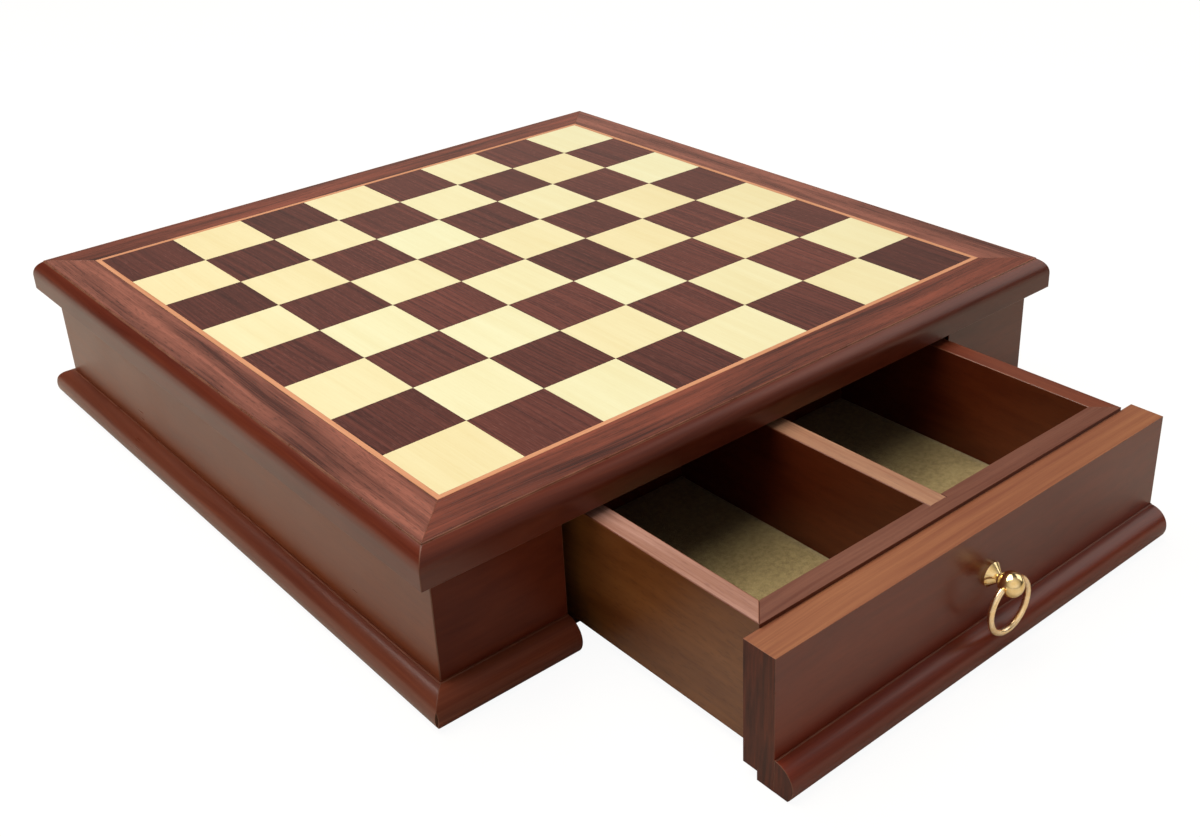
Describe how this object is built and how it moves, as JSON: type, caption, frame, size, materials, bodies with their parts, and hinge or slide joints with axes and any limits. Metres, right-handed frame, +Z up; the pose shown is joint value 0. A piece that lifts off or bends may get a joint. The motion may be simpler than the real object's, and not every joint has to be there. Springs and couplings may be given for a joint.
{
  "type": "chess box with drawers",
  "caption": "Inlaid chessboard on a shallow mahogany cabinet with a felt-lined drawer in the front and back, each with a moulded front and a brass ring pull.",
  "frame": {"origin": "centre of the cabinet's resting face, on the table", "axes": "+Z up, -Y the way the front drawer opens, +X to the right seen from the front"},
  "size_m": [0.359, 0.4799, 0.076],
  "materials": {
    "mahogany": "semi-gloss lacquer over dark red-brown stain",
    "dark_veneer": "semi-gloss lacquered rosewood veneer with fine straight grain",
    "border_veneer": "semi-gloss lacquered dark veneer, grain along each side",
    "light_veneer": "semi-gloss lacquered maple veneer",
    "inlay": "lacquered reddish inlay line",
    "board_core": "stained panel edge",
    "inner_wood": "dark stained panel, matt",
    "tray_wood": "satin brown stained wood",
    "felt": "flocked felt, olive grey",
    "polished_brass": "polished",
    "screw_steel": "zinc plated"
  },
  "bodies": {
    "cabinet": {"board_core": "board_core", "dark_squares": "dark_veneer", "light_squares": "light_veneer", "stringing": "inlay", "border_front": "border_veneer", "border_back": "border_veneer", "border_left": "border_veneer", "border_right": "border_veneer", "lipping_front": "mahogany", "lipping_back": "mahogany", "lipping_left": "mahogany", "lipping_right": "mahogany", "lid_panel": "inner_wood", "wall_left": "mahogany", "wall_right": "mahogany", "stile_front_left": "mahogany", "stile_front_right": "mahogany", "stile_back_left": "mahogany", "stile_back_right": "mahogany", "base_left": "mahogany", "base_right": "mahogany", "base_front_left": "mahogany", "base_front_right": "mahogany", "base_back_left": "mahogany", "base_back_right": "mahogany", "floor_panel": "inner_wood", "partition": "inner_wood", "runner_left": "inner_wood", "runner_right": "inner_wood", "runner_screws": "screw_steel"},
    "front_drawer": {"front_drawer_face": "mahogany", "front_drawer_moulding": "mahogany", "front_tray_front": "tray_wood", "front_tray_right": "tray_wood", "front_tray_back": "tray_wood", "front_tray_left": "tray_wood", "front_tray_floor": "inner_wood", "front_tray_divider": "tray_wood", "front_tray_felt": "felt", "front_face_screws": "screw_steel", "front_pull_post": "polished_brass", "front_pull_screw": "screw_steel"},
    "front_ring": {"front_pull_ring": "polished_brass"},
    "back_drawer": {"back_drawer_face": "mahogany", "back_drawer_moulding": "mahogany", "back_tray_front": "tray_wood", "back_tray_right": "tray_wood", "back_tray_back": "tray_wood", "back_tray_left": "tray_wood", "back_tray_floor": "inner_wood", "back_tray_divider": "tray_wood", "back_tray_felt": "felt", "back_face_screws": "screw_steel", "back_pull_post": "polished_brass", "back_pull_screw": "screw_steel"},
    "back_ring": {"back_pull_ring": "polished_brass"}
  },
  "joints": [
    {"name": "front_drawer_slide", "type": "slide", "parent": "cabinet", "child": "front_drawer", "axis": [0, -1, 0], "range_m": [-0.1085, 0.01]},
    {"name": "back_drawer_slide", "type": "slide", "parent": "cabinet", "child": "back_drawer", "axis": [0, 1, 0], "range_m": [0, 0.1185]},
    {"name": "front_ring_swing", "type": "hinge", "parent": "front_drawer", "child": "front_ring", "pos_m": [0, -0.2892, 0.0338], "axis": [-1, 0, 0], "range_deg": [-6, 172]},
    {"name": "back_ring_swing", "type": "hinge", "parent": "back_drawer", "child": "back_ring", "pos_m": [0, 0.1807, 0.0338], "axis": [1, 0, 0], "range_deg": [-6, 172]}
  ]
}
